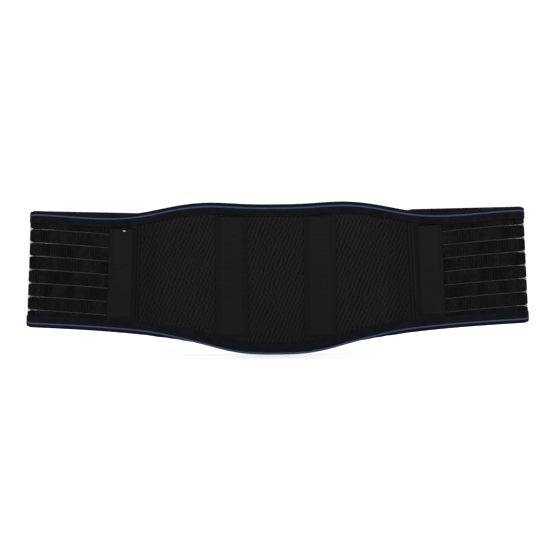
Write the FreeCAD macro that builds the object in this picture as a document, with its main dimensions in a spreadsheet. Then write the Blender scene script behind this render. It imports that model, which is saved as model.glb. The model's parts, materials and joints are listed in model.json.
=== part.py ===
import FreeCAD, Part
import math
import os
import Sketcher
from FreeCAD import Placement, Rotation, Vector

# Lumbar support belt, upright as it is worn and seen from the wearer: +X to the right, +Z up and
# +Y away from the body. The origin is in the middle of the lining, half way up the back panel.
# "left" is -X and "right" is +X. The belt is in three zones on each side of the spine: the back
# panel, the side and the elastic wing. Beyond the wing the front end is drawn in the flat belt and
# then folded back behind the wing, about a line that leans inwards at its top.

SIZES = (
    # name, and its value in millimetres; leans are in degrees, and slope and curve are plain numbers
    ("lining_thick", 0.8), ("foam_thick", 2.4), ("outer_thick", 0.8),
    ("elastic_thick", 1.6), ("thread_thick", 0.4), ("seam_tape_width", 14.0), ("seam_tape_thick", 0.6),
    ("binding_thick", 0.8), ("binding_width", 16.0), ("fold_squeeze", 0.1),
    ("back_half", 84.0), ("panel_half", 184.0), ("hinge_gap", 0.3),
    ("strip_pitch", 18.0), ("slit_width", 2.0), ("band_slope", 0.0577), ("band_curve", 0.00021),
    ("straight_from", 325.0), ("fold_height", 16.0), ("fold_depth", 4.2),
    ("fold_half_left", 325.8), ("fold_half_right", 330.2),
    ("fold_lean_left", 2.5), ("fold_lean_right", 2.1),
    ("closure_root", 391.0), ("closure_length", 106.0), ("closure_corner", 22.0),
    ("closure_lining_thick", 0.5), ("closure_core_thick", 1.4), ("closure_outer_thick", 0.5),
    ("hook_thick", 1.6), ("hook_length", 70.0), ("hook_width", 100.0),
    ("pocket_cloth", 0.8), ("pocket_depth", 2.0), ("pocket_margin", 4.0),
    ("lumbar_pocket_half", 59.0), ("lumbar_pocket_width", 42.0), ("lumbar_pocket_top", 84.0),
    ("lumbar_pocket_bottom", -74.0), ("side_pocket_half", 205.5), ("side_pocket_width", 36.0),
    ("side_pocket_top", 70.0), ("side_pocket_bottom", -52.0), ("side_pocket_lean", 2.4),
    ("stay_thick", 1.2), ("stay_height", 0.4), ("tip_length", 12.0), ("tip_skin", 0.2),
    ("lumbar_stay_width", 24.0), ("lumbar_stay_length", 150.0),
    ("side_stay_width", 20.0), ("side_stay_length", 114.0), ("stay_corner_inset", 2.0),
)
STRIPS = 8
CLEAR = 1.0  # how far a cutting outline reaches past what it cuts

# The belt's edges as (distance from the spine, height), from the spine to just past the fold.
TOP_EDGE = ((0, 100.0), (40, 100.7), (90, 103.0), (135, 98.5), (182, 89.9), (232, 87.9), (280, 91.2),
            (340, 94.3))
BOTTOM_EDGE = ((0, -100.0), (40, -98.5), (75, -92.0), (105, -84.0), (150, -76.0), (200, -70.0),
               (260, -65.0), (340, -60.4))

doc = FreeCAD.newDocument("LumbarBelt")
sheet = doc.addObject("Spreadsheet::Sheet", "Sizes")
for row, (name, value) in enumerate(SIZES, start=1):
    sheet.set(f"A{row}", name)
    sheet.set(f"B{row}", str(value))
    sheet.setAlias(f"B{row}", name)
doc.recompute()

SIDES = {"left": -1, "right": 1}


def size(name):
    return float(sheet.get(name))


PANEL_THICK = "(Sizes.lining_thick + Sizes.foam_thick + Sizes.outer_thick)"
CLOSURE_THICK = "(Sizes.closure_lining_thick + Sizes.closure_core_thick + Sizes.closure_outer_thick)"
BACK_HALF, PANEL_HALF, STRAIGHT_FROM = size("back_half"), size("panel_half"), size("straight_from")
BINDING_WIDTH, BINDING_THICK = size("binding_width"), size("binding_thick")
BAND_SLOPE = size("band_slope")
GAP = size("hinge_gap") / 2
BACK_END = BACK_HALF - GAP


# ---------------------------------------------------------------- the belt's flat pattern

def edge_spline(points):
    """One smooth edge over the whole width, from the points of its right half."""
    left = [Vector(-x, z, 0) for x, z in reversed(points[1:])]
    curve = Part.BSplineCurve()
    curve.interpolate(left + [Vector(x, z, 0) for x, z in points])
    return curve


def parameter_at(curve, x, halvings=60):
    """The parameter at which a curve that runs steadily towards +X passes x."""
    low, high = curve.FirstParameter, curve.LastParameter
    for _ in range(halvings):
        middle = (low + high) / 2
        if curve.value(middle).x < x:
            low = middle
        else:
            high = middle
    return middle


EDGES = {"top": edge_spline(TOP_EDGE), "bottom": edge_spline(BOTTOM_EDGE)}


def edge_height(edge, x):
    """Height of the belt's edge at a distance x from the spine; straight towards the ends."""
    curve = EDGES[edge]
    inside = min(x, STRAIGHT_FROM)
    return curve.value(parameter_at(curve, inside)).y + BAND_SLOPE * (x - inside)


def band_height(x):
    """Height of the middle slit of the elastic band at a distance x from the spine."""
    bent = max(STRAIGHT_FROM - x, 0.0)
    return size("fold_height") + BAND_SLOPE * (x - STRAIGHT_FROM) - size("band_curve") * bent ** 2


def upright(x, gap=0.0):
    """A seam square to the belt at a distance x from the spine."""
    return lambda z: x + gap


def fold_line(side, gap=0.0):
    """The fold, which leans inwards at its top."""
    lean = math.tan(math.radians(size("fold_lean_" + side)))
    return lambda z: size("fold_half_" + side) + gap - (z - size("fold_height")) * lean


def band_line(x, gap=0.0):
    """A seam square to the elastic band, crossing its middle at x."""
    return lambda z: x + gap - (z - band_height(x)) * BAND_SLOPE


def meet(height, seam, rounds=8):
    """Where an edge of the pattern meets a seam, closed in on round by round."""
    x = seam(0.0)
    for _ in range(rounds):
        x = seam(height(x))
    return Vector(x, height(x), 0)


def mirrored(point, sign):
    return Vector(sign * point.x, point.y, 0)


def outline(edge, sign, inner, outer, shift=0.0):
    """A stretch of the belt's edge between two seams, moved up by shift."""
    ends = [meet(lambda x: edge_height(edge, x) + shift, seam) for seam in (inner, outer)]
    if ends[1].x > STRAIGHT_FROM + BINDING_WIDTH:
        return Part.LineSegment(mirrored(ends[0], sign), mirrored(ends[1], sign))
    curve = EDGES[edge].copy()
    low, high = sorted(sign * end.x for end in ends)
    curve.segment(parameter_at(curve, low), parameter_at(curve, high))
    curve.translate(Vector(0, shift, 0))
    return curve


def band_rule(slit, sign, inner, outer, shift):
    """One side of a slit: slit 0 is the middle one, and shift is half the slit's width."""
    rise = slit * size("strip_pitch") + shift
    ends = [meet(lambda x: band_height(x) + rise, seam) for seam in (inner, outer)]
    middle_x = (ends[0].x + ends[1].x) / 2
    if ends[1].x > STRAIGHT_FROM + BINDING_WIDTH:
        return Part.LineSegment(mirrored(ends[0], sign), mirrored(ends[1], sign))
    middle = Vector(middle_x, band_height(middle_x) + rise, 0)
    return Part.Arc(*(mirrored(point, sign) for point in (ends[0], middle, ends[1])))


def loop(upper, lower):
    """The closed outline between two edges that run over the same stretch."""
    low_start, low_end = lower.StartPoint, lower.EndPoint
    if abs(low_start.x - upper.StartPoint.x) > abs(low_end.x - upper.StartPoint.x):
        low_start, low_end = low_end, low_start
    return [upper, Part.LineSegment(upper.EndPoint, low_end), lower,
            Part.LineSegment(low_start, upper.StartPoint)]


def zone(sign, inner, outer):
    """The whole height of the belt between two seams."""
    return loop(outline("top", sign, inner, outer), outline("bottom", sign, inner, outer))


def strip_loops(sign, inner, outer):
    """The outlines of the elastic strips between two seams, from the bottom to the top."""
    half = size("slit_width") / 2
    slits = range(-(STRIPS // 2) + 1, STRIPS // 2)
    lower = [outline("bottom", sign, inner, outer)]
    lower += [band_rule(slit, sign, inner, outer, half) for slit in slits]
    upper = [band_rule(slit, sign, inner, outer, -half) for slit in slits]
    upper.append(outline("top", sign, inner, outer))
    return [loop(top, bottom) for top, bottom in zip(upper, lower)]


def slit_loops(sign, inner, outer):
    """The outlines of the open slits between the strips."""
    half = size("slit_width") / 2
    slits = range(-(STRIPS // 2) + 1, STRIPS // 2)
    return [loop(band_rule(slit, sign, inner, outer, half), band_rule(slit, sign, inner, outer, -half))
            for slit in slits]


def polygon(points):
    corners = [Vector(x, z, 0) for x, z in points]
    return [Part.LineSegment(a, b) for a, b in zip(corners, corners[1:] + corners[:1])]


# ---------------------------------------------------------------- building blocks

sub_parts = []


def new_body(label):
    """An empty body. It may hold several solids, for pieces that come as a set."""
    body = doc.addObject("PartDesign::Body", label)
    body.Label = label
    body.AllowCompound = True
    sub_parts.append(body)
    return body


def origin_plane(body, role):
    return next(plane for plane in body.Origin.OriginFeatures if plane.Role == role)


def add_sketch(body, name, loops, front="0", role="XZ_Plane"):
    """A sketch on one of the body's own planes. On the XZ plane, front is its distance along +Y."""
    sketch = body.newObject("Sketcher::SketchObject", name)
    sketch.AttachmentSupport = [(origin_plane(body, role), "")]
    sketch.MapMode = "FlatFace"
    if role == "XZ_Plane":
        sketch.setExpression("AttachmentOffset.Base.z", f"-({front})")
    for shape in loops:
        sketch.addGeometry(shape, False)
    return sketch


def pad(body, sketch, thickness):
    """Thicken a sketch on the XZ plane towards +Y."""
    feature = body.newObject("PartDesign::Pad", sketch.Name + "_pad")
    feature.Profile = sketch
    feature.Reversed = True
    feature.setExpression("Length", thickness)
    return feature


def cut(body, sketch, depth):
    """Cut a sketch on the XZ plane towards +Y."""
    feature = body.newObject("PartDesign::Pocket", sketch.Name + "_cut")
    feature.Profile = sketch
    feature.setExpression("Length", depth)
    return feature


def layer(label, loops, front, thickness):
    """One flat layer of cloth, foam or elastic, from its front face towards +Y."""
    body = new_body(label)
    pad(body, add_sketch(body, label + "_outline", loops, front), thickness)
    return body


def tape(label, outer_loop, channel_loop, core):
    """Binding folded over an edge: a slab with the channel for the cloth cut out of it."""
    body = new_body(label)
    slab = add_sketch(body, label + "_slab", outer_loop, "-Sizes.binding_thick")
    pad(body, slab, f"{core} + 2 * Sizes.binding_thick")
    cut(body, add_sketch(body, label + "_channel", channel_loop), core)
    return body


def bind(label, edge, sign, inner, outer, core):
    """Binding over the belt's top or bottom edge between two seams."""
    outwards = 1 if edge == "top" else -1
    proud = outline(edge, sign, inner, outer, outwards * BINDING_THICK)
    flush = outline(edge, sign, inner, outer)
    hem = outline(edge, sign, inner, outer, -outwards * BINDING_WIDTH)
    past_hem = outline(edge, sign, inner, outer, -outwards * (BINDING_WIDTH + CLEAR))
    return tape(label, loop(proud, hem), loop(flush, past_hem), core)


def rectangle(sketch, width, height):
    """A constrained rectangle about the sketch's origin, whose sides follow the sheet."""
    wide, tall = (float(sheet.evalExpression(term)) for term in (width, height))
    corners = [(-wide / 2, -tall / 2), (wide / 2, -tall / 2), (wide / 2, tall / 2), (-wide / 2, tall / 2)]
    sketch.addGeometry(polygon(corners), False)
    for line in range(4):
        sketch.addConstraint(Sketcher.Constraint("Coincident", line, 2, (line + 1) % 4, 1))
        sketch.addConstraint(Sketcher.Constraint(("Horizontal", "Vertical")[line % 2], line))
    sketch.addConstraint(Sketcher.Constraint("Symmetric", 0, 1, 1, 2, -1, 1))
    for name, kind, line, value in (("wide", "DistanceX", 0, wide), ("tall", "DistanceY", 1, tall)):
        number = sketch.addConstraint(Sketcher.Constraint(kind, line, 1, line, 2, value))
        sketch.renameConstraint(number, name)
    sketch.setExpression("Constraints.wide", width)
    sketch.setExpression("Constraints.tall", height)


def plate(label, width, height, front, thickness, placement):
    """A rectangular piece of cloth, centred on its placement."""
    body = new_body(label)
    sketch = add_sketch(body, label + "_outline", [], front)
    rectangle(sketch, width, height)
    pad(body, sketch, thickness)
    body.Placement = placement
    return body


def rounded(wide, tall, radius, ends=("left", "right")):
    """A rectangle about the origin with its corners rounded at the ends that are named."""
    x, z = wide / 2, tall / 2
    turn = radius * (1 - math.sqrt(0.5))
    shapes, path = [], []
    for sx, sz in ((1, -1), (1, 1), (-1, 1), (-1, -1)):
        if ("left" if sx < 0 else "right") not in ends:
            path.append((Vector(sx * x, sz * z, 0),) * 2)
            continue
        along, across = Vector(sx * (x - radius), sz * z, 0), Vector(sx * x, sz * (z - radius), 0)
        start, end = (along, across) if sx * sz < 0 else (across, along)
        shapes.append(Part.Arc(start, Vector(sx * (x - turn), sz * (z - turn), 0), end))
        path.append((start, end))
    shapes += [Part.LineSegment(a[1], b[0]) for a, b in zip(path, path[1:] + path[:1])]
    return shapes


def moved(shapes, x, z=0.0):
    for shape in shapes:
        shape.translate(Vector(x, z, 0))
    return shapes


# ---------------------------------------------------------------- back panel and sides

def laminate(prefix, suffix, loops):
    """The padded cloth: mesh lining, foam and outer fabric, face to face."""
    layer(f"{prefix}_lining{suffix}", loops(), "0", "Sizes.lining_thick")
    layer(f"{prefix}_foam{suffix}", loops(), "Sizes.lining_thick", "Sizes.foam_thick")
    layer(f"{prefix}_outer_fabric{suffix}", loops(), "Sizes.lining_thick + Sizes.foam_thick",
          "Sizes.outer_thick")


def symmetric_outline(edge, half, shift=0.0):
    """A stretch of the edge that spans the spine."""
    curve = EDGES[edge].copy()
    curve.segment(parameter_at(curve, -half), parameter_at(curve, half))
    curve.translate(Vector(0, shift, 0))
    return curve


def make_back():
    laminate("back", "", lambda: loop(symmetric_outline("top", BACK_END),
                                      symmetric_outline("bottom", BACK_END)))
    for edge, outwards in (("top", 1), ("bottom", -1)):
        proud, flush, hem, past_hem = (
            symmetric_outline(edge, BACK_END, outwards * shift)
            for shift in (BINDING_THICK, 0, -BINDING_WIDTH, -BINDING_WIDTH - CLEAR))
        tape(f"back_binding_{edge}", loop(proud, hem), loop(flush, past_hem), PANEL_THICK)


def make_side(side, sign):
    seams = upright(BACK_HALF, GAP), upright(PANEL_HALF, -GAP)
    laminate("side", "_" + side, lambda: zone(sign, *seams))
    for edge in ("top", "bottom"):
        bind(f"side_binding_{edge}_{side}", edge, sign, *seams, PANEL_THICK)


# ---------------------------------------------------------------- elastic wings and front ends

def elastic_zone(name, side, sign, seams, placement):
    """Eight elastic strips with open thread ladders between them, bound at the top and bottom."""
    pieces = [
        layer(f"{name}_elastic_strips_{side}", sum(strip_loops(sign, *seams), []), "0",
              "Sizes.elastic_thick"),
        layer(f"{name}_thread_ladders_{side}", sum(slit_loops(sign, *seams), []),
              "(Sizes.elastic_thick - Sizes.thread_thick) / 2", "Sizes.thread_thick"),
    ]
    for edge in ("top", "bottom"):
        pieces.append(bind(f"{name}_binding_{edge}_{side}", edge, sign, *seams, "Sizes.elastic_thick"))
    for piece in pieces:
        piece.Placement = placement


def fold_placement(side, sign):
    """Half a turn about the fold, which lays the front end behind the wing."""
    lean = math.radians(size("fold_lean_" + side))
    axis = Vector(-sign * math.sin(lean), 0, math.cos(lean))
    centre = Vector(sign * size("fold_half_" + side), size("fold_depth"), size("fold_height"))
    return Placement(Vector(0, 0, 0), Rotation(axis, 180), centre)


def make_wing(side, sign):
    seams = upright(PANEL_HALF, GAP), fold_line(side, -GAP)
    elastic_zone("wing", side, sign, seams, Placement())
    tape_end = upright(PANEL_HALF + size("seam_tape_width"))
    inside_hem = [outline(edge, sign, seams[0], tape_end, shift * (BINDING_WIDTH + GAP))
                  for edge, shift in (("top", -1), ("bottom", 1))]
    layer(f"wing_seam_tape_{side}", loop(*inside_hem), "Sizes.elastic_thick", "Sizes.seam_tape_thick")


def make_fold(side, sign):
    """The strips and the binding where they turn back on themselves, as half rings."""
    body = new_body(f"fold_bend_{side}")
    depth, base = size("fold_depth"), size("fold_height")
    elastic, skin, squeeze = size("elastic_thick"), BINDING_THICK, size("fold_squeeze")
    low, high = (meet(lambda x: edge_height(edge, x), fold_line(side)).y - base
                 for edge in ("bottom", "top"))
    slits = [slit * size("strip_pitch") for slit in range(-(STRIPS // 2) + 1, STRIPS // 2)]
    half = size("slit_width") / 2
    starts = [low + squeeze] + [slit + half for slit in slits]
    ends = [slit - half for slit in slits] + [high - squeeze]
    near, far = squeeze - depth, elastic - squeeze - depth
    profiles = [polygon([(near, start), (far, start), (far, end), (near, end)])
                for start, end in zip(starts, ends)]
    for edge, outwards in ((high, 1), (low, -1)):
        hem, proud = edge - outwards * BINDING_WIDTH, edge + outwards * skin
        profiles.append(polygon([
            (-depth - skin, hem), (-depth - skin, proud), (elastic + skin - depth, proud),
            (elastic + skin - depth, hem), (elastic - depth, hem), (elastic - depth, edge),
            (-depth, edge), (-depth, hem)]))
    sketch = add_sketch(body, f"fold_profile_{side}", sum(profiles, []), role="YZ_Plane")
    ring = body.newObject("PartDesign::Revolution", f"fold_ring_{side}")
    ring.Profile = sketch
    ring.ReferenceAxis = (sketch, ["V_Axis"])
    ring.Angle = 180
    ring.Reversed = sign < 0
    lean = -sign * size("fold_lean_" + side)
    centre = Vector(sign * size("fold_half_" + side), depth, base)
    body.Placement = Placement(centre, Rotation(Vector(0, 1, 0), lean))


def make_front(side, sign):
    """The elastic beyond the fold, drawn flat and laid back behind the wing."""
    seams = fold_line(side, GAP), band_line(size("closure_root"), -GAP)
    elastic_zone("front", side, sign, seams, fold_placement(side, sign))


def make_closure(side, sign):
    """The stiffened closing end, bound on three sides."""
    root = size("closure_root")
    middle = (edge_height("top", root) + edge_height("bottom", root)) / 2
    slope = math.atan(BAND_SLOPE)
    tall = (edge_height("top", root) - edge_height("bottom", root)) * math.cos(slope)
    length, corner = size("closure_length"), size("closure_corner")
    flat = Placement(Vector(sign * root, 0, middle), Rotation(Vector(0, 1, 0), -sign * math.degrees(slope)))
    placement = fold_placement(side, sign) * flat
    far_end = ("right",) if sign > 0 else ("left",)

    def panel(grow=0.0, start=GAP):
        wide = length + grow - start
        return moved(rounded(wide, tall + 2 * grow, corner + grow, far_end), sign * (start + wide / 2))

    pieces, front = [], "0"
    for name in ("lining", "core", "outer"):
        thickness = f"Sizes.closure_{name}_thick"
        pieces.append(layer(f"closure_{name}_{side}", panel(), front, thickness))
        front += " + " + thickness

    binding = new_body(f"end_binding_{side}")
    pad(binding, add_sketch(binding, f"end_slab_{side}", panel(BINDING_THICK), "-Sizes.binding_thick"),
        CLOSURE_THICK + " + 2 * Sizes.binding_thick")
    window = panel(-BINDING_WIDTH, -CLEAR)
    cut(binding, add_sketch(binding, f"end_window_{side}", window, "-Sizes.binding_thick"),
        CLOSURE_THICK + " + 2 * Sizes.binding_thick")
    cut(binding, add_sketch(binding, f"end_channel_{side}", panel(start=-CLEAR)), CLOSURE_THICK)
    pieces.append(binding)
    for piece in pieces:
        piece.Placement = placement
    if side == "right":
        centre = Vector(sign * (length - BINDING_WIDTH) / 2, 0, 0)
        plate("hook_patch_right", "Sizes.hook_length", "Sizes.hook_width", "-Sizes.hook_thick",
              "Sizes.hook_thick", placement * Placement(centre, Rotation()))


# ---------------------------------------------------------------- stays and their pockets

def pocket_base(label, width, height, placement):
    """The pocket's backing tape and its three sewn margins, which keep the cover off the backing."""
    boxes = []
    outside = f"{width} / 2"
    margin = "Sizes.pocket_margin"
    spans = (  # name, where it starts across the pocket, width, height, front face and depth
        ("backing", f"-{outside}", width, height, "-Sizes.pocket_cloth", "Sizes.pocket_cloth"),
        ("left_margin", f"-{outside}", margin, height, None, None),
        ("right_margin", f"{outside} - {margin}", margin, height, None, None),
        ("bottom_margin", f"-{outside} + {margin}", f"{width} - 2 * {margin}", margin, None, None),
    )
    for name, start, length, tall, front, deep in spans:
        box = doc.addObject("Part::Box", f"{label}_{name}")
        box.setExpression("Length", length)
        box.setExpression("Width", deep or "Sizes.pocket_depth")
        box.setExpression("Height", tall)
        box.setExpression("Placement.Base.x", start)
        box.setExpression("Placement.Base.y", front or "-Sizes.pocket_cloth - Sizes.pocket_depth")
        box.setExpression("Placement.Base.z", f"-({height}) / 2")
        boxes.append(box)
    base = doc.addObject("Part::Compound", label)
    base.Label = label
    base.Links = boxes
    base.Placement = placement
    sub_parts.append(base)


def make_pocket(kind, side, placement):
    width = f"Sizes.{kind}_pocket_width"
    height = f"(Sizes.{kind}_pocket_top - Sizes.{kind}_pocket_bottom)"
    pocket_base(f"{kind}_pocket_base_{side}", width, height, placement)
    plate(f"{kind}_pocket_cover_{side}", width, height, "-Sizes.pocket_depth - 2 * Sizes.pocket_cloth",
          "Sizes.pocket_cloth", placement)


def make_stay(kind, side, placement):
    """A flat spring stay with a dipped tip on each end."""
    wide, long = size(f"{kind}_stay_width"), size(f"{kind}_stay_length")
    skin, radius = size("tip_skin"), wide / 2 - size("stay_corner_inset")
    back = "Sizes.pocket_cloth + Sizes.stay_height"
    stay = layer(f"{kind}_stay_{side}", rounded(wide, long, radius), f"-({back} + Sizes.stay_thick)",
                 "Sizes.stay_thick")
    tips = new_body(f"{kind}_stay_tips_{side}")
    front = f"-({back} + Sizes.stay_thick + Sizes.tip_skin)"
    through = "Sizes.stay_thick + 2 * Sizes.tip_skin"
    outer = rounded(wide + 2 * skin, long + 2 * skin, radius + skin)
    pad(tips, add_sketch(tips, f"{kind}_tip_outline_{side}", outer, front), through)
    between = rounded(wide + 2 * CLEAR, long - 2 * size("tip_length"), CLEAR)
    cut(tips, add_sketch(tips, f"{kind}_tip_waist_{side}", between, front), through)
    inside = rounded(wide, long, radius)
    cut(tips, add_sketch(tips, f"{kind}_tip_socket_{side}", inside, f"-({back} + Sizes.stay_thick)"),
        "Sizes.stay_thick")
    for piece in (stay, tips):
        piece.Placement = placement


def pocket_placement(kind, sign, length=None):
    """The middle of a pocket, or of a stay of this length standing on the pocket's bottom seam."""
    low, high = size(f"{kind}_pocket_bottom"), size(f"{kind}_pocket_top")
    lean = sign * size("side_pocket_lean") if kind == "side" else 0.0
    middle = Placement(Vector(sign * size(f"{kind}_pocket_half"), 0, (low + high) / 2),
                       Rotation(Vector(0, 1, 0), -lean))
    if length is None:
        return middle
    lift = size("pocket_margin") + size("tip_skin") + size("hinge_gap") + length / 2 - (high - low) / 2
    return middle * Placement(Vector(0, 0, lift), Rotation())


make_back()
for side, sign in SIDES.items():
    make_side(side, sign)
    make_wing(side, sign)
    make_fold(side, sign)
    make_front(side, sign)
    make_closure(side, sign)
    for kind in ("lumbar", "side"):
        make_pocket(kind, side, pocket_placement(kind, sign))
        make_stay(kind, side, pocket_placement(kind, sign, size(f"{kind}_stay_length")))

doc.recompute()
for thing in doc.Objects:
    if "Invalid" in thing.State or "Error" in thing.State:
        raise RuntimeError(f"{thing.Label} failed: {thing.State}")
for part in sub_parts:
    if part.Shape.isNull() or not part.Shape.isValid():
        raise RuntimeError(f"{part.Label} has no valid shape")

os.makedirs("parts", exist_ok=True)
for part in sub_parts:
    part.Shape.exportStep(f"parts/{part.Label}.step")
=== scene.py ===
import json
import math

import bpy
import bmesh
import numpy as np
from mathutils import Matrix, Vector


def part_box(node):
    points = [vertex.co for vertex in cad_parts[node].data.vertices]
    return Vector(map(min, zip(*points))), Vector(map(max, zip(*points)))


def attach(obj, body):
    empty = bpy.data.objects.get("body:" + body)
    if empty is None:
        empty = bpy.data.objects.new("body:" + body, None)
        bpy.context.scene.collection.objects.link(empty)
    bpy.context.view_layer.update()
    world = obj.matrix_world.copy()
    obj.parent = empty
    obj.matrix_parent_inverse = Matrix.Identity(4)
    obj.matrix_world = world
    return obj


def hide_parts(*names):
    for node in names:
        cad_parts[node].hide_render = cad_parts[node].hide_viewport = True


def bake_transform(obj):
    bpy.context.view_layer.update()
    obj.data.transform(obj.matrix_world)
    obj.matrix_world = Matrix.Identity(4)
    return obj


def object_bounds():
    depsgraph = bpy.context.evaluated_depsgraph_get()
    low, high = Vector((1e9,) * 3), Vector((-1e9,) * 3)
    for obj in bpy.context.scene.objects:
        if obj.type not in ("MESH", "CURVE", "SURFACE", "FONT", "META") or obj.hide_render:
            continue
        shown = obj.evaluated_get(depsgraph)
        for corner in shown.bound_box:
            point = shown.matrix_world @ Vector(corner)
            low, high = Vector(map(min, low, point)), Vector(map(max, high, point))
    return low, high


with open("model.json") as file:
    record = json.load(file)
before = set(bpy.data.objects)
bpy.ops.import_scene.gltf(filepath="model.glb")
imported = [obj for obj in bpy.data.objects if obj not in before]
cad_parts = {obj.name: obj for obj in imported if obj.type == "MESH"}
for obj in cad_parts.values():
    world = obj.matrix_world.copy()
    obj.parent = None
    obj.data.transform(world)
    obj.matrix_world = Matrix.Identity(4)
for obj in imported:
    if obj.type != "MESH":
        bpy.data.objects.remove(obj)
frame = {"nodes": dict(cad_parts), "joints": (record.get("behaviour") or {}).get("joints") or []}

# A lumbar support belt, lying folded: the wearer's side faces -Y, and each front end lies back behind
# its elastic wing. Everything is in metres. A place on the cloth is given as in the flat belt: how far
# it is from the spine, its height, and its depth from the wearer's face. Fold.turned() then lays what
# is beyond a fold behind the wing.

CAD_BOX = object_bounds()
MM = 0.001
SIDES = {"left": -1.0, "right": 1.0}
JOINTS = {joint["name"]: joint for joint in frame["joints"]}
BOTH = (0, -1)  # the first and last rows of a grid


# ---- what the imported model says

def cad_points(node):
    return np.array([v.co for v in frame["nodes"][node].data.vertices], float)


def smooth(value):
    value = np.clip(value, 0.0, 1.0)
    return value * value * (3 - 2 * value)


def hump(value, width):
    return np.exp(-(np.asarray(value) / width) ** 2)


class Fold:
    """The line about which a front end lies back behind its wing."""

    def __init__(self, side):
        joint = JOINTS[f"{side}_wing_fold"]
        self.sign = SIDES[side]
        self.centre = np.array(joint["pos_m"])
        axis = np.array(joint["axis"])
        self.axis = axis * np.sign(axis[2])
        self.out = np.array([self.sign * self.axis[2], 0.0, -self.sign * self.axis[0]])
        self.reach = abs(self.centre[0])
        self.lean = -self.sign * self.axis[0] / self.axis[2]

    def turned(self, flat, turn):
        """Flat points turned about the line, by 0 before it and by pi beyond it."""
        arm = flat - self.centre
        out, deep = arm @ self.out, arm[..., 1]
        cos, sin = np.cos(turn), np.sin(turn)
        return (self.centre + (arm @ self.axis)[..., None] * self.axis
                + (out * cos - deep * sin)[..., None] * self.out
                + (out * sin + deep * cos)[..., None] * np.array([0.0, 1.0, 0.0]))


FOLDS = {side: Fold(side) for side in SIDES}


class Curve:
    """A smooth height over the flat belt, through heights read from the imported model."""

    def __init__(self, x, z):
        order = np.argsort(x)
        self.x, self.z = np.array(x)[order], np.array(z)[order]
        self.slope = np.gradient(self.z, self.x)

    def __call__(self, x):
        x = np.abs(x)
        i = np.clip(np.searchsorted(self.x, x) - 1, 0, len(self.x) - 2)
        step = self.x[i + 1] - self.x[i]
        t = np.clip((x - self.x[i]) / step, 0, None)
        past = np.maximum(t - 1, 0)
        t = np.minimum(t, 1)
        value = (self.z[i] * (1 + 2 * t) * (1 - t) ** 2 + self.slope[i] * step * t * (1 - t) ** 2
                 + self.z[i + 1] * t * t * (3 - 2 * t) + self.slope[i + 1] * step * t * t * (t - 1))
        return value + past * step * self.slope[i + 1]


def crossings(node, folded, inner, outer, spacing=9 * MM):
    """Pairs of x and the sorted heights at which a right-hand CAD node's edges cross x."""
    points = cad_points(node)
    if folded:
        points = FOLDS["right"].turned(points, math.pi)
    edges = np.array([e.vertices for e in frame["nodes"][node].data.edges])
    a, b = points[edges[:, 0]], points[edges[:, 1]]
    low, high = max(points[:, 0].min(), 0.0) + inner, points[:, 0].max() - outer
    for x in np.linspace(low, high, max(int((high - low) / spacing), 3)):
        over = ((a[:, 0] - x) * (b[:, 0] - x) < 0)
        share = (x - a[over, 0]) / (b[over, 0] - a[over, 0])
        yield x, np.sort(a[over, 2] + share * (b[over, 2] - a[over, 2]))


# Node, whether it lies folded back, and how far its slanting ends reach in from its box.
ZONES = (("back_lining", False, 0.0, MM), ("side_lining_right", False, MM, MM),
         ("wing_elastic_strips_right", False, 2 * MM, 10 * MM),
         ("front_elastic_strips_right", True, 10 * MM, 14 * MM),
         ("closure_core_right", True, 14 * MM, 30 * MM))
SLIT_ZONES = (("wing_thread_ladders_right", False, 3 * MM, 10 * MM),
              ("front_thread_ladders_right", True, 10 * MM, 14 * MM))
SLIT_COUNT = 7
BETWEEN_SLITS = 6 * MM  # heights further apart than this belong to different slits

sampled = [found for zone in ZONES for found in crossings(*zone)]
EDGE = {"top": Curve([x for x, _ in sampled], [z[-1] for _, z in sampled]),
        "bottom": Curve([x for x, _ in sampled], [z[0] for _, z in sampled])}
slit_samples = [[] for _ in range(SLIT_COUNT)]
for zone in SLIT_ZONES:
    for x, heights in crossings(*zone):
        groups = np.split(heights, np.flatnonzero(np.diff(heights) > BETWEEN_SLITS) + 1)
        if len(groups) == SLIT_COUNT:
            for samples, group in zip(slit_samples, groups):
                samples.append((x, (group[0] + group[-1]) / 2))
SLITS = [Curve(*zip(*samples)) for samples in slit_samples]

BACK_HALF = JOINTS["right_back_flex"]["pos_m"][0]
PANEL_HALF = JOINTS["right_side_flex"]["pos_m"][0]
PANEL_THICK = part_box("back_outer_fabric")[1].y
ELASTIC_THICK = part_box("wing_elastic_strips_right")[1].y
BINDING_WIDTH = 16 * MM
TAPE = 0.8 * MM  # thickness of the binding tape
STITCH_PITCH = 3.2 * MM
SPLIT = (BACK_HALF + PANEL_HALF) / 2  # where the side's cloth is parted, between its two bends
CENTRE = abs(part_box("lumbar_pocket_cover_right")[0].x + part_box("lumbar_pocket_cover_right")[1].x) / 2
UNDER_POCKET = PANEL_HALF + 24 * MM  # where the wing's cloth is parted, under the side pocket
ROOT = FOLDS["right"].turned(np.array(JOINTS["right_front_flex"]["pos_m"]), math.pi)[0]  # of the closing end
MIDDLE_SLIT = SLITS[SLIT_COUNT // 2]
SLOPE_OVER = 20 * MM
BAND_SLOPE = (MIDDLE_SLIT(ROOT) - MIDDLE_SLIT(ROOT - SLOPE_OVER)) / SLOPE_OVER


# ---- building meshes

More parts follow.
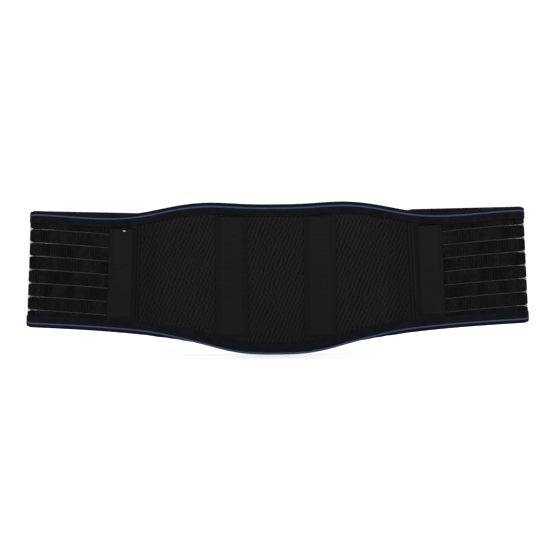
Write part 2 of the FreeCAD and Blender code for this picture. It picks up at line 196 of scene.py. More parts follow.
class Builder:
    """Collects grids of points into one mesh with flat-belt coordinates and a tone at each point; on the
    lining, pocket tape and elastic the tone holds painted shade, and on the pockets painted light.
    """

    def __init__(self):
        self.points, self.quads, self.uvs, self.tones, self.marks, self.flats = [], [], [], [], [], []
        self.count = 0

    def grid(self, points, uv=None, tone=None, closed=False, caps=(), marks=0):
        """A grid of points, row by row. A closed one is a tube, with caps on the rows that caps names."""
        rows, columns = points.shape[:2]
        index = self.count + np.arange(rows * columns).reshape(rows, columns)
        ring = index
        if uv is None:
            uv = np.stack([points[..., 0], points[..., 2]], -1)
        if closed:
            index = np.concatenate([index, index[:, :1]], 1)
            if uv.shape[1] == columns:
                uv = np.concatenate([uv, uv[:, :1]], 1)

        def corners(array):
            cells = [array[:-1, :-1], array[:-1, 1:], array[1:, 1:], array[1:, :-1]]
            return np.stack(cells, 2).reshape(-1, 4, *array.shape[2:])

        quads = corners(index)
        self.quads.append(quads)
        self.uvs.append(corners(uv))
        self.marks.append(np.broadcast_to(marks, (rows - 1, index.shape[1] - 1)).reshape(-1))
        self.flats.append(np.zeros(len(quads), bool))
        for end in caps:
            i = np.arange(columns // 2 - 1)
            cap = np.stack([ring[end][i], ring[end][i + 1], ring[end][columns - 2 - i],
                            ring[end][columns - 1 - i]], 1)
            self.quads.append(cap)
            self.uvs.append(uv.reshape(-1, 2)[:1].repeat(cap.size, 0).reshape(-1, 4, 2))
            self.marks.append(np.zeros(len(cap), int))
            self.flats.append(np.ones(len(cap), bool))
        self.points.append(points.reshape(-1, 3))
        tone = np.ones((rows, columns)) if tone is None else np.broadcast_to(tone, (rows, columns))
        self.tones.append(tone.reshape(-1))
        self.count += rows * columns

    def make(self, name, *materials):
        points = np.concatenate(self.points)
        quads = np.concatenate(self.quads)
        mesh = bpy.data.meshes.new(name)
        mesh.vertices.add(len(points))
        mesh.vertices.foreach_set("co", points.astype(np.float32).ravel())
        mesh.loops.add(quads.size)
        mesh.loops.foreach_set("vertex_index", quads.astype(np.int32).ravel())
        mesh.polygons.add(len(quads))
        mesh.polygons.foreach_set("loop_start", np.arange(0, quads.size, 4, dtype=np.int32))
        mesh.polygons.foreach_set("material_index", np.concatenate(self.marks).astype(np.int32))
        mesh.polygons.foreach_set("use_smooth", ~np.concatenate(self.flats))
        uv = mesh.uv_layers.new(name="flat")
        uv.data.foreach_set("uv", np.concatenate(self.uvs).astype(np.float32).ravel())
        tone = mesh.attributes.new("tone", "FLOAT", "POINT")
        tone.data.foreach_set("value", np.concatenate(self.tones).astype(np.float32))
        mesh.update(calc_edges=True)
        shaped = bmesh.new()
        shaped.from_mesh(mesh)
        bmesh.ops.recalc_face_normals(shaped, faces=shaped.faces)
        shaped.to_mesh(mesh)
        shaped.free()
        for item in materials:
            mesh.materials.append(item)
        piece = bpy.data.objects.new(name, mesh)
        bpy.context.scene.collection.objects.link(piece)
        return piece


def both_faces(front, back):
    """The closed rings, row by row, of a cloth with these points on its front and its back."""
    return np.concatenate([front, back[:, ::-1]], 1)


def unit(rows):
    return rows / np.linalg.norm(rows, axis=1)[:, None]


def lengths(points):
    """How far along a row of points each of them lies."""
    return np.concatenate([[0], np.cumsum(np.linalg.norm(np.diff(points, axis=0), axis=1))])


def pairs(first, second):
    return np.stack(np.broadcast_arrays(first, second), -1)


def heights(x, inset, count):
    """Even heights at each x, from this far above the belt's lower edge to as far below the upper."""
    low, high = EDGE["bottom"](x) + inset, EDGE["top"](x) - inset
    return low + (high - low) * np.linspace(0, 1, count)[None]


def wander(x, scale, seed):
    """A smooth random wave along x, about -1 to 1, with bends about scale apart."""
    count = 4096
    knots = np.random.default_rng(seed).uniform(-1, 1, count)
    place = np.asarray(x) / scale + count // 2
    i = np.floor(place).astype(int) % (count - 1)
    return knots[i] + (knots[i + 1] - knots[i]) * smooth(place - np.floor(place))


class Run:
    """Stations along one side of the belt, from first to last, over the fold if last lies beyond it."""

    RING = 22  # stations round the fold

    def __init__(self, side, first, last, step=MM):
        self.fold = fold = FOLDS[side]
        wing_end = min(last, fold.reach)
        parts = [np.linspace(first, wing_end, int((wing_end - first) / step) + 2)]
        turns = [np.zeros(len(parts[0]))]
        if last > fold.reach:
            parts += [np.full(self.RING, fold.reach),
                      np.linspace(fold.reach, last, int((last - fold.reach) / step) + 2)]
            turns += [np.linspace(0, math.pi, self.RING + 2)[1:-1], np.full(len(parts[2]), math.pi)]
        self.reach, self.turn = np.concatenate(parts), np.concatenate(turns)
        leaning = smooth((self.reach - UNDER_POCKET) / (fold.reach - UNDER_POCKET))
        beyond = np.clip((self.reach - fold.reach) / (ROOT - fold.reach), 0, 1)
        self.lean = fold.lean * leaning + (BAND_SLOPE - fold.lean) * beyond
        radius = fold.centre[1] - ELASTIC_THICK / 2
        self.length = self.reach + self.turn * radius
        self.past = self.length - fold.reach - math.pi / 2 * radius  # beyond the fold's middle

    def points(self, height, depth):
        """Points on the cloth at a height, which is a function of x, and at a depth."""
        x = self.reach
        for _ in range(4):
            z = height(x)
            x = self.reach - (z - self.fold.centre[2]) * self.lean
        flat = np.stack([self.fold.sign * x, np.broadcast_to(depth, x.shape), z], -1)
        return self.fold.turned(flat, self.turn) if self.turn.any() else flat

    def at_fold(self, width):
        return hump(self.past, width)


def thick_at(x):
    """Thickness of the bound cloth: the padded panel, squeezed where the elastic is sewn in."""
    before_end, over = 12 * MM, 18 * MM
    share = smooth((np.abs(x) - PANEL_HALF + before_end) / over)
    return PANEL_THICK + (ELASTIC_THICK - PANEL_THICK) * share


def thread(builder, points, outward):
    """A row of stitches: one thread that dips below the cloth between stitches."""
    radius, proud, sink, step, sides = 0.22 * MM, 0.1 * MM, 0.75 * MM, 0.4 * MM, 6
    length = lengths(points)
    even = np.arange(0, length[-1], step)
    centre = np.stack([np.interp(even, length, points[:, k]) for k in range(3)], -1)
    out = unit(np.stack([np.interp(even, length, outward[:, k]) for k in range(3)], -1))
    across = np.cross(unit(np.gradient(centre, axis=0)), out)
    wave = np.abs(np.cos(np.pi * even / STITCH_PITCH)) ** 0.35
    centre = centre + out * (proud - sink * (1 - wave))[:, None]
    turns = np.arange(sides) * 2 * math.pi / sides
    ring = (centre[:, None] + radius * (np.cos(turns)[None, :, None] * out[:, None]
                                        + np.sin(turns)[None, :, None] * across[:, None]))
    builder.grid(ring, pairs(even[:, None], turns[None] * radius), closed=True, caps=BOTH)


# ---- materials

class Shader:
    """A material with one Principled shader, and short ways to add nodes to it."""

    def __init__(self, name, specular, on_cloth=True, **sockets):
        self.material = bpy.data.materials.new(name)
        self.material.use_nodes = True
        self.tree = self.material.node_tree
        self.shader = self.tree.nodes["Principled BSDF"]
        self.shader.inputs["Specular IOR Level"].default_value = specular
        for socket, value in sockets.items():
            self.shader.inputs[socket.replace("_", " ")].default_value = value
        if on_cloth:
            place = self.add("ShaderNodeUVMap", uv_map="flat").outputs[0]
        else:
            place = self.add("ShaderNodeTexCoord").outputs["Object"]
        self.flat = self.add("ShaderNodeVectorMath", {0: place, 1: (1 / MM, 1 / MM, 1 / MM)},
                             operation="MULTIPLY").outputs[0]  # in millimetres
        # The tone attribute carries painted shade and light as well as uneven tone.
        self.tone = self.add("ShaderNodeAttribute", attribute_name="tone").outputs["Fac"]

    def add(self, kind, inputs=None, **settings):
        node = self.tree.nodes.new(kind)
        for key, value in settings.items():
            setattr(node, key, value)
        for key, value in (inputs or {}).items():
            if isinstance(value, bpy.types.NodeSocket):
                self.tree.links.new(value, node.inputs[key])
            else:
                node.inputs[key].default_value = value
        return node

    def math(self, operation, a, b):
        return self.add("ShaderNodeMath", {0: a, 1: b}, operation=operation).outputs[0]

    def plus(self, a, b):
        return self.math("ADD", a, b)

    def times(self, a, b):
        return self.math("MULTIPLY", a, b)

    def noise(self, scale, detail=2.0, stretch=(1.0, 1.0, 1.0)):
        """Cloudy noise with scale features to the millimetre."""
        place = self.add("ShaderNodeVectorMath", {0: self.flat, 1: stretch}, operation="MULTIPLY").outputs[0]
        return self.add("ShaderNodeTexNoise", {"Vector": place, "Scale": scale, "Detail": detail}).outputs[0]

    def ribs(self, pitch, turn=0.0, distortion=0.0):
        """Bands from 0 to 1, this many millimetres apart, across a direction turned from +X."""
        place = self.add("ShaderNodeVectorRotate", {"Vector": self.flat, "Angle": math.radians(turn)},
                         rotation_type="Z_AXIS").outputs[0]
        wave = self.add("ShaderNodeTexWave", {"Vector": place, "Scale": 2 * math.pi / 20 / pitch,
                                              "Distortion": distortion, "Detail": 1.0, "Detail Scale": 1.5},
                        wave_type="BANDS", bands_direction="X")
        return wave.outputs["Fac"]

    def colour(self, share, dark, light):
        mixed = self.add("ShaderNodeMix", {0: share, 6: (*dark, 1.0), 7: (*light, 1.0)}, data_type="RGBA")
        self.tree.links.new(mixed.outputs[2], self.shader.inputs["Base Color"])

    def finish(self, colour, rough, relief):
        """The material, from a share and its two colours, a share and its lowest and highest roughness,
        and a height and how many millimetres of relief it makes."""
        self.colour(*colour)
        spread = self.add("ShaderNodeMapRange", {0: rough[0], 3: rough[1], 4: rough[2]})
        bump = self.add("ShaderNodeBump", {"Height": relief[0], "Distance": relief[1] * MM})
        self.tree.links.new(spread.outputs[0], self.shader.inputs["Roughness"])
        self.tree.links.new(bump.outputs[0], self.shader.inputs["Normal"])
        return self.material


def grey(level, warm=0.0):
    return (level * (1 + warm), level, level * (1 - warm))


def mesh_cloth():
    s = Shader("mesh_lining", 0.03, Sheen_Weight=0.01, Sheen_Roughness=0.5)
    fine = s.times(s.ribs(0.9, 32), s.ribs(0.9, -32))
    cloudy = s.plus(s.times(s.noise(0.02), 0.5), s.times(s.noise(0.35), 0.7))
    return s.finish((s.times(s.tone, s.plus(0.3, cloudy)), grey(0.0008), grey(0.0092)),
                    (s.noise(0.4), 0.7, 0.95), (s.plus(fine, s.noise(2.0)), 0.12))


def foam_cloth():
    s = Shader("foam", 0.05)
    return s.finish((s.noise(0.5, 4.0), grey(0.02), grey(0.045)),
                    (s.noise(1.0), 0.85, 1.0), (s.noise(2.5, 3.0), 0.3))


def outer_cloth():
    s = Shader("outer_fabric", 0.04, Sheen_Weight=0.02, Sheen_Roughness=0.4)
    weave = s.math("MAXIMUM", s.ribs(0.8, 45, 0.3), s.ribs(0.8, -45, 0.3))
    cloudy = s.plus(0.25, s.plus(s.times(s.noise(0.02, 3.0), 0.5), s.noise(0.5)))
    return s.finish((s.times(weave, cloudy), grey(0.0012), grey(0.0085)),
                    (s.noise(0.3), 0.6, 0.9), (s.plus(weave, s.noise(1.5)), 0.15))


def binding_cloth():
    s = Shader("binding", 0.03, Sheen_Weight=0.01, Sheen_Roughness=0.35)
    knit = s.plus(s.ribs(0.55, 90, 0.4), s.times(s.ribs(1.1, 0, 0.6), 0.6))
    return s.finish((s.times(knit, s.noise(0.1, 3.0)), (0.0010, 0.0011, 0.0015), (0.0088, 0.0094, 0.0118)),
                    (s.noise(0.4), 0.6, 0.85), (s.plus(knit, s.noise(1.2)), 0.12))


def stripe_cloth():
    s = Shader("blue_line", 0.08, Sheen_Weight=0.02, Sheen_Roughness=0.3)
    twist = s.ribs(1.3, 35, 0.5)
    share = s.times(s.plus(0.5, s.times(twist, 0.5)), s.plus(0.45, s.noise(0.07)))
    return s.finish((share, (0.011, 0.015, 0.040), (0.038, 0.050, 0.122)),
                    (s.noise(0.4), 0.45, 0.75), (twist, 0.15))


def satin_cloth():
    s = Shader("pocket_tape", 0.04, Sheen_Weight=0.01, Sheen_Roughness=0.3)
    ribs = s.ribs(1.1, 90, 0.2)
    woven = s.plus(0.6, s.times(ribs, 0.4))
    lines = s.plus(0.35, s.times(s.noise(0.35, 2.0, (0.12, 1.6, 1.0)), 0.9))
    return s.finish((s.times(s.tone, s.times(woven, lines)), grey(0.0012), grey(0.0078)),
                    (s.noise(0.3, 2.0, (1.0, 0.3, 1.0)), 0.5, 0.7),
                    (s.plus(ribs, s.times(s.ribs(0.5, 0), 0.5)), 0.06))


def elastic_cloth():
    s = Shader("elastic", 0.025, Sheen_Weight=0.01, Sheen_Roughness=0.4)
    lengthwise = s.ribs(1.5, 90, 0.5)
    grain = s.math("SUBTRACT", s.times(s.noise(0.42, 2.0, (1.3, 0.4, 1.0)), 2.6), 0.75)
    blotch = s.plus(s.times(s.noise(0.06, 3.0, (1.4, 0.5, 1.0)), 0.6), grain)
    share = s.times(s.tone, s.times(blotch, s.plus(0.7, s.times(lengthwise, 0.5))))
    return s.finish((share, (0.0002, 0.0002, 0.0003), (0.0070, 0.0070, 0.0077)),
                    (s.noise(0.5), 0.55, 0.85), (s.plus(lengthwise, s.noise(1.6)), 0.12))


def ladder_cloth():
    s = Shader("ladder_thread", 0.2)
    return s.finish((s.noise(0.3), grey(0.03), grey(0.075)), (s.noise(1.0), 0.4, 0.65),
                    (s.ribs(0.3, 40), 0.05))


def stitch_cloth():
    s = Shader("stitching", 0.06, Sheen_Weight=0.02, Sheen_Roughness=0.3)
    return s.finish((s.noise(0.8), grey(0.003), grey(0.009)), (s.noise(1.0), 0.45, 0.7),
                    (s.ribs(0.4, 35), 0.08))


def loop_cloth():
    s = Shader("loop_fabric", 0.03, Sheen_Weight=0.04, Sheen_Roughness=0.6)
    cloudy = s.times(s.noise(0.9, 4.0), s.plus(0.5, s.noise(0.05)))
    return s.finish((cloudy, grey(0.0015), grey(0.011)),
                    (s.noise(0.6), 0.85, 1.0), (s.plus(s.noise(1.8, 4.0), s.noise(4.0)), 0.35))


def hook_plastic():
    s = Shader("hook", 0.15)
    return s.finish((s.noise(0.5), grey(0.004), grey(0.010)), (s.noise(1.2), 0.28, 0.5), (s.noise(3.0), 0.03))


def board():
    s = Shader("stiffener", 0.2, on_cloth=False)
    return s.finish((s.noise(0.4, 3.0), grey(0.03), grey(0.06)), (s.noise(0.5), 0.55, 0.8),
                    (s.noise(1.0), 0.08))


def spring_steel():
    s = Shader("stay_steel", 0.5, on_cloth=False, Metallic=1.0)
    brushed = s.noise(1.2, 3.0, (8.0, 8.0, 0.4))
    return s.finish((brushed, grey(0.22, 0.02), grey(0.42, 0.01)), (brushed, 0.2, 0.42), (brushed, 0.02))


def dipped_tip():
    # Light grey: the tips are taken as white, and this lightness also stands in for the glint at the left
    # side pocket's mouth, a painted highlight.
    s = Shader("stay_tip", 0.45, on_cloth=False, Coat_Weight=0.3, Coat_Roughness=0.2)
    return s.finish((s.noise(0.3), grey(0.55), grey(0.72)), (s.noise(0.8), 0.25, 0.45), (s.noise(0.6), 0.05))


def pale_floor():
    s = Shader("floor", 0.05, Roughness=0.9)
    s.colour(s.noise(0.00001), grey(0.94), grey(0.96))  # clouds so wide that it looks plain
    return s.material


MESH, FOAM, OUTER, BINDING, STRIPE = (
    mesh_cloth(), foam_cloth(), outer_cloth(), binding_cloth(), stripe_cloth())
SATIN, ELASTIC, LADDER, STITCH, LOOP = (
    satin_cloth(), elastic_cloth(), ladder_cloth(), stitch_cloth(), loop_cloth())
HOOK, BOARD, STEEL, TIP = hook_plastic(), board(), spring_steel(), dipped_tip()


# ---- how pieces are placed: some ride on a body, the others are baked where they lie

def bends_at():
    """A ride that only bakes a piece's transform into its mesh; the piece is not attached to a body and does
    not bend.
    """
    def ride(piece, side):
        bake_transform(piece)
    return ride


def ride_fold(piece, side):
    """Only bakes the piece's transform into its mesh; neither layer is attached to the wing or the front end.
    """
    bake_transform(piece)


def rides_on(body):
    return lambda piece, side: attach(piece, body)


ride_flank = bends_at()
ride_side = bends_at()
ride_end = bends_at()

# The belt's length is parted where nothing bends, so that each piece crosses one joint at most.
STRETCHES = [("back", "right", -CENTRE, CENTRE, rides_on("back_panel"))]
for side in SIDES:
    STRETCHES += [("flank", side, CENTRE, SPLIT, ride_flank), ("side", side, SPLIT, UNDER_POCKET, ride_side),
                  ("wing", side, UNDER_POCKET, ROOT, ride_fold)]


def stretch_name(kind, zone, side):
    return f"{kind}_{zone}" if zone == "back" else f"{kind}_{zone}_{side}"


def declare(piece, slot, ride, side, *replaced):
    """Hides the nodes that a piece stands for and hands the piece to its ride; slot, its finish, is not used.
    """
    if replaced:
        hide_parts(*replaced)
    ride(piece, side)


def sew(stitches, name, ride, side):
    """The rows of stitches in a builder, as one piece."""
    declare(stitches.make(f"stitching_{name}", STITCH), "thread", ride, side)


# ---- the padded panel

PANEL_END = PANEL_HALF + 7.5 * MM
PANEL_ROWS = 195 * MM  # the height that a layer's rows are counted over
INSET = 0.6 * MM  # the panel's cloth stops this far inside the binding's fold
HEM = BINDING_WIDTH - 1.5 * MM
LINING = 0.75 * MM  # thickness of the lining, and of the outer fabric
CLEAR = 0.05 * MM  # between one layer and the next
SEAM_PLACES = ((178.6 * MM, 182.6 * MM), (183.2 * MM, 186.0 * MM))  # two seams, to the right and the left
SEAM_LEAN = 0.042


class Swell:
    """How the lining swells between its seams: a cloth blown up from behind and held at the seams.

    The cloth is a grid over the panel. A simple rounded rise is added to the simulated one."""

    STEP = 5 * MM
    ROWS = 41
    FRAMES = 20
    PRESSURE = 0.3
    MOST = 2.0 * MM
    HALF_POCKET = 21 * MM

    def __init__(self):
        self.across = np.linspace(-PANEL_END, PANEL_END, 2 * int(PANEL_END / self.STEP) + 1)
        x, share = np.meshgrid(self.across, np.linspace(0, 1, self.ROWS), indexing="ij")
        z = EDGE["bottom"](x) + (EDGE["top"](x) - EDGE["bottom"](x)) * share
        self.rise = self.blown(x, z)

    def gaps(self, x, z):
        """How far a place is from the nearest seam that holds the lining down."""
        x = np.abs(x)
        return np.clip(np.stack(np.broadcast_arrays(
            np.abs(x - CENTRE) - self.HALF_POCKET, PANEL_HALF - x, EDGE["top"](x) - HEM - z,
            z - EDGE["bottom"](x) - HEM), 0).min(0), 0, None)

    def rounded(self, x, z):
        return 1.3 * MM * (1 - np.exp(-self.gaps(x, z) / (9 * MM)))

    def blown(self, x, z):
        """The rise of the simulated cloth, over a part of the rounded one."""
        cloth = Builder()
        uneven = 0.2 * MM * wander(x + 2 * z, 30 * MM, 21)
        cloth.grid(np.stack([x, uneven, z], -1))
        piece = cloth.make("swell")
        held = piece.vertex_groups.new(name="held")
        held.add(np.flatnonzero(self.gaps(x, z).ravel() < 0.5 * self.STEP).tolist(), 1.0, "REPLACE")
        modifier = piece.modifiers.new("cloth", "CLOTH")
        settings = modifier.settings
        settings.quality = 6
        settings.mass = 0.2
        settings.tension_stiffness = settings.compression_stiffness = 12.0
        settings.bending_stiffness = 5.0
        settings.vertex_group_mass = "held"
        settings.use_pressure = True
        settings.uniform_pressure_force = self.PRESSURE
        settings.shrink_min = -0.0012
        settings.effector_weights.gravity = 0.0
        modifier.point_cache.frame_end = self.FRAMES
        scene = bpy.context.scene
        for number in range(1, self.FRAMES + 1):
            scene.frame_set(number)
        shaped = piece.evaluated_get(bpy.context.evaluated_depsgraph_get()).to_mesh()
        rise = -np.array([vertex.co.y for vertex in shaped.vertices]).reshape(x.shape)
        scene.frame_set(1)
        bpy.data.objects.remove(piece)
        rise = 0.6 * self.rounded(x, z) + rise * smooth(self.gaps(x, z) / (4 * MM))
        return self.MOST * np.tanh(np.clip(rise, 0, None) / self.MOST)

    def __call__(self, x, z):
        low, high = EDGE["bottom"](x), EDGE["top"](x)
        i = (x + PANEL_END) / (2 * PANEL_END) * (len(self.across) - 1)
        j = (z - low) / (high - low) * (self.ROWS - 1)
        i, j = np.clip(i, 0, len(self.across) - 1.001), np.clip(j, 0, self.ROWS - 1.001)
        left, under = np.floor(i).astype(int), np.floor(j).astype(int)
        right, over = smooth(i - left), smooth(j - under)
        rise = self.rise
        return ((rise[left, under] * (1 - right) + rise[left + 1, under] * right) * (1 - over)
                + (rise[left, under + 1] * (1 - right) + rise[left + 1, under + 1] * right) * over)


puff = Swell()


def mesh_relief(x, z):
    """Depth of the lining's holes, from 0 to 1: steep broken streaks that rise to the right."""
    skew = 0.5 * MM * wander(z, 23 * MM, 3) + 0.5 * MM * wander(x, 31 * MM, 4)
    loose = wander(x + 0.45 * z, 6 * MM, 11) + wander(z - 0.6 * x, 8 * MM, 12)
    patchy = wander(x - 0.42 * z, 4.5 * MM, 13) * wander(z + 0.3 * x, 6 * MM, 14) * 1.6
    rising = 2 * math.pi * ((x + skew) / (5.4 * MM) - z / (12.8 * MM)) + 1.1 * loose
    falling = 2 * math.pi * ((x + skew) / (6.1 * MM) + z / (8.3 * MM)) + 1.4 * patchy
    return smooth(0.42 + 0.36 * (1 + 0.7 * patchy) * np.cos(rising)
                  + 0.15 * (1 - 0.6 * loose) * np.cos(falling))


def lining_front(x, z):
    """The lining's face: plain and with two leaning seams near its end, and with holes elsewhere. Its tone
    has painted shade in the seams' grooves and towards the side pocket.
    """
    inside = smooth(np.minimum(EDGE["top"](x) - z, z - EDGE["bottom"](x)) / MM - 13.0)
    first, second = (np.where(x > 0, *places) - SEAM_LEAN * z for places in SEAM_PLACES)
    groove = 0.8 * MM
    seam = np.clip(hump(np.abs(x) - first, groove) + hump(np.abs(x) - second, groove), 0, 1) * inside
    relief = mesh_relief(x, z) * (1 - smooth((np.abs(x) - first + 3 * MM) / (3 * MM)))
    front = -puff(x, z) + (0.34 * MM) * relief * inside + 0.12 * MM * (1 - inside) + 0.25 * MM * seam
    # Painted shade: the tone is darker towards the side pocket, where the cloth curves.
    shade = 1 - 0.24 * smooth((np.abs(x) - 140 * MM) / (26 * MM))  # darker towards the side pocket
    # Painted shade also darkens the seams' grooves.
    return front, shade * (1 - 0.62 * relief) * (1 - 0.9 * seam)


def under_lining(x, z):
    return LINING - puff(x, z)


def behind_foam(x, z):
    return thick_at(x) - LINING


def outer_face(x, z):
    return thick_at(x) + 0.35 * puff(x, z)


def just_behind(face):
    """The front of a layer that lies behind a face, with its even tone."""
    return lambda x, z: (face(x, z) + CLEAR, np.ones(x.shape))


def flat_measure(run):
    """The width, height and area of a panel piece as it was cut."""
    high, low = EDGE["top"](run.reach), EDGE["bottom"](run.reach)
    width = run.reach[-1] - run.reach[0]
    return (float(width), float(high.max() - low.min())), float(np.mean(high - low) * width)


def panel_layer(kind, node, material, front, back, step, end):
    """One layer of the panel in five pieces, between two depths that are functions of x and z."""
    for zone, side, first, last, ride in STRETCHES:
        if zone == "wing":
            continue
        run = Run(side, first, min(last, end), step)
        x = run.reach[:, None]
        z = heights(x, INSET, int(PANEL_ROWS / step) + 1)
        signed = x * run.fold.sign + 0 * z
        front_deep, tone = front(signed, z)
        sheet = [np.stack([signed, deep, z], -1) for deep in (front_deep, back(signed, z))]
        builder = Builder()
        builder.grid(both_faces(*sheet), tone=np.concatenate([tone, np.full(tone.shape, 0.5)], 1),
                     closed=True, caps=BOTH)
        piece = builder.make(stretch_name(kind, zone, side), material)
        replaced = {"back": [f"back_{node}"], "flank": [f"side_{node}_{side}"], "side": []}[zone]
        declare(piece, kind, ride, side, *replaced)
        if kind == "foam":
            continue
        flat, area = flat_measure(run)
        min(area, 0.999 * flat[0] * flat[1])


def make_panel():
    foam_front, outer_front = just_behind(under_lining), just_behind(behind_foam)
    panel_layer("mesh_lining", "lining", MESH, lining_front, under_lining, MM, PANEL_END)
    panel_layer("foam", "foam", FOAM, foam_front, behind_foam, 3 * MM, PANEL_HALF - 5 * MM)
    panel_layer("outer_fabric", "outer_fabric", OUTER, outer_front, outer_face, 2 * MM, PANEL_END)


# ---- binding with its blue line

TAPE_LENGTH = 2 * BINDING_WIDTH
SEAM_IN = 2.0 * MM  # from the tape's hem to its stitches
LINE_WIDTH = 1.6 * MM
LINE_IN = 5.2 * MM  # from the belt's edge to the blue line
LINE_ROLLED = 1.3 * MM  # and where the bottom binding rolls to the edge, in the middle of the belt
BEFORE_LINE, LINE_COLUMNS, AFTER_LINE = 12, 4, 18


def line_place(edge, x):
    """How far in from the belt's edge the blue line runs."""
    if edge == "top":
        return LINE_IN + 0 * x
    return LINE_ROLLED + (LINE_IN - LINE_ROLLED) * smooth((np.abs(x) / MM - 102) / 78)


def tape_section(along, core):
    """Where a place on the tape lies, as distance in from the edge and depth, for a bound thickness."""
    round_in = 1.2 * MM
    leg = BINDING_WIDTH - round_in
    arc = np.clip((along - leg) / (TAPE_LENGTH - 2 * leg), 0, 1) * math.pi
    inset = np.where(along < leg, BINDING_WIDTH - along,
                     np.where(along > TAPE_LENGTH - leg, BINDING_WIDTH - (TAPE_LENGTH - along),
                              round_in - (round_in + TAPE) * np.sin(arc)))
    depth = core / 2 - (core / 2 + TAPE) * np.cos(arc)
    return inset, depth


def tape_ring(length, line, core, place, seed, squeeze=0.0, lift=0.0):
    """A binding tape sewn over an edge: the closed section at each station, and its marks.

    length and line are the stations' places along the tape and how far in the blue line runs, core is
    the thickness bound, and place puts an inset and a depth, one for each station, into the belt. lift
    raises the wearer's side of the tape, and squeeze moves its edge in."""
    half, core_gap, line_gap, edge_gap = LINE_WIDTH / 2, 0.04 * MM, 0.1 * MM, 0.02 * MM
    line = (BINDING_WIDTH - line)[:, None]
    before = np.linspace(0, 1, BEFORE_LINE)[None] * (line - half - line_gap)
    over = line + np.array([-1.0, -0.45, 0.45, 1.0])[None] * half
    start = line + half + line_gap
    after = start + np.linspace(0, 1, AFTER_LINE)[None] * (TAPE_LENGTH - start)
    along = np.concatenate([before, over, after], 1)
    core = np.broadcast_to(core, length.shape)[:, None] + core_gap
    inset, depth = tape_section(along, core)
    inner_inset, inner_depth = np.maximum(inset, 0.4 * MM), np.clip(depth, edge_gap, core - edge_gap)

    from_hem = np.minimum(along, TAPE_LENGTH - along)
    out = np.where(along < TAPE_LENGTH / 2, -1.0, 1.0)
    crown = 0.12 * MM * np.sin(math.pi * np.clip(from_hem / BINDING_WIDTH, 0, 1))
    seam = hump(from_hem - SEAM_IN, 1.1 * MM)
    pucker = 0.16 * MM * seam * (0.6 + 0.4 * np.cos(2 * math.pi * length / STITCH_PITCH))[:, None]
    ripple = 0.10 * MM * wander(length, 7 * MM, seed)[:, None] * (seam < 0.3)
    raised = np.where(np.abs(along - line) < half, 0.2 * MM, 0.0)
    lift = np.broadcast_to(lift, length.shape)[:, None]
    lifted = np.where(out < 0, lift, 0.0) * (from_hem < 14 * MM)
    depth = depth + out * (crown + raised + ripple - pucker + lifted)
    inner_depth = inner_depth + out * lifted
    hem = smooth(1 - from_hem / (6 * MM))
    shift = 0.22 * MM * wander(length, 16 * MM, seed + 1)[:, None] * hem + squeeze * (1 - hem)

    columns = range(along.shape[1])
    ring = [place(inset[:, k] + shift[:, k], depth[:, k]) for k in columns]
    ring += [place(inner_inset[:, k] + shift[:, k], inner_depth[:, k]) for k in reversed(columns)]
    uv = pairs(length[:, None], both_faces(along, along))
    marks = np.zeros((1, len(ring)), int)
    marks[:, BEFORE_LINE - 1:BEFORE_LINE + LINE_COLUMNS] = 1
    sewn_in = np.full(length.shape, BINDING_WIDTH - SEAM_IN)
    seams = [(place(sewn_in, depth[:, k]), place(sewn_in, depth[:, k] + way * MM))
             for k, way in ((2, -1.0), (len(columns) - 3, 1.0))]
    return np.stack(ring, 1), uv, marks, seams


def sewn_tape(name, ring, ride, side, *replaced):
    """The binding and its two rows of stitches as pieces."""
    points, uv, marks, seams = ring
    tape, stitches = Builder(), Builder()
    tape.grid(points, uv, closed=True, caps=BOTH, marks=marks)
    for row, further in seams:
        thread(stitches, row, further - row)
    declare(tape.make(f"binding_{name}", BINDING, STRIPE), "binding", ride, side, *replaced)
    sew(stitches, name, ride, side)


def binding_piece(edge, zone, side, first, last, ride):
    outwards, seed, lift = (1.0, 5, -0.38 * MM) if edge == "top" else (-1.0, 6, 0.5 * MM)
    run = Run(side, first, last, 0.8 * MM)

    def place(inset, depth):
        return run.points(lambda x: EDGE[edge](x) - outwards * inset, depth)

    over_pocket = sum(smooth((half - np.abs(np.abs(run.reach) - middle)) / (2 * MM))
                      for middle, half in POCKET_SPANS) * (run.turn < 0.01)
    squeeze = 2.4 * MM * run.at_fold(4.2 * MM)[:, None]
    ring = tape_ring(run.length, line_place(edge, run.reach), thick_at(run.reach), place, seed,
                     squeeze, lift * over_pocket)
    replaced = {"back": [f"back_binding_{edge}"], "flank": [f"side_binding_{edge}_{side}"], "side": [],
                "wing": [f"wing_binding_{edge}_{side}", f"front_binding_{edge}_{side}"]}[zone]
    sewn_tape(stretch_name(edge, zone, side), ring, ride, side, *replaced)


def make_bindings():
    for edge in EDGE:
        for stretch in STRETCHES:
            binding_piece(edge, *stretch)


# ---- elastic strips and ladders

SLIT_HALF = 0.5 * MM
STRIP_PITCH = 18 * MM
STRIP_STEPS = np.array([0.0, 0.12, 0.5, 1.3, 4.0]) * MM  # in from a strip's edges, round its corner


def strip_edges(number):
    """The two edges of a strip, as functions of x; 0 is the lowest strip."""
    low = (lambda x: EDGE["bottom"](x) + 0.3 * MM) if number == 0 else (
        lambda x: SLITS[number - 1](x) + SLIT_HALF)
    high = (lambda x: EDGE["top"](x) - 0.3 * MM) if number == SLIT_COUNT else (
        lambda x: SLITS[number](x) - SLIT_HALF)
    return low, high


def elastic_depth(run):
    """How deep the elastic's middle lies, between the panel's layers where it is sewn in, and half of
    its thickness."""
    sewn = 1 - smooth((run.reach - PANEL_HALF - 1.5 * MM) / (7 * MM))
    closing = smooth((run.reach - ROOT + 9 * MM) / (6 * MM))
    return ELASTIC_THICK / 2 + LINING * sewn, 0.5 * ELASTIC_THICK * (1 - 0.35 * sewn - 0.35 * closing)


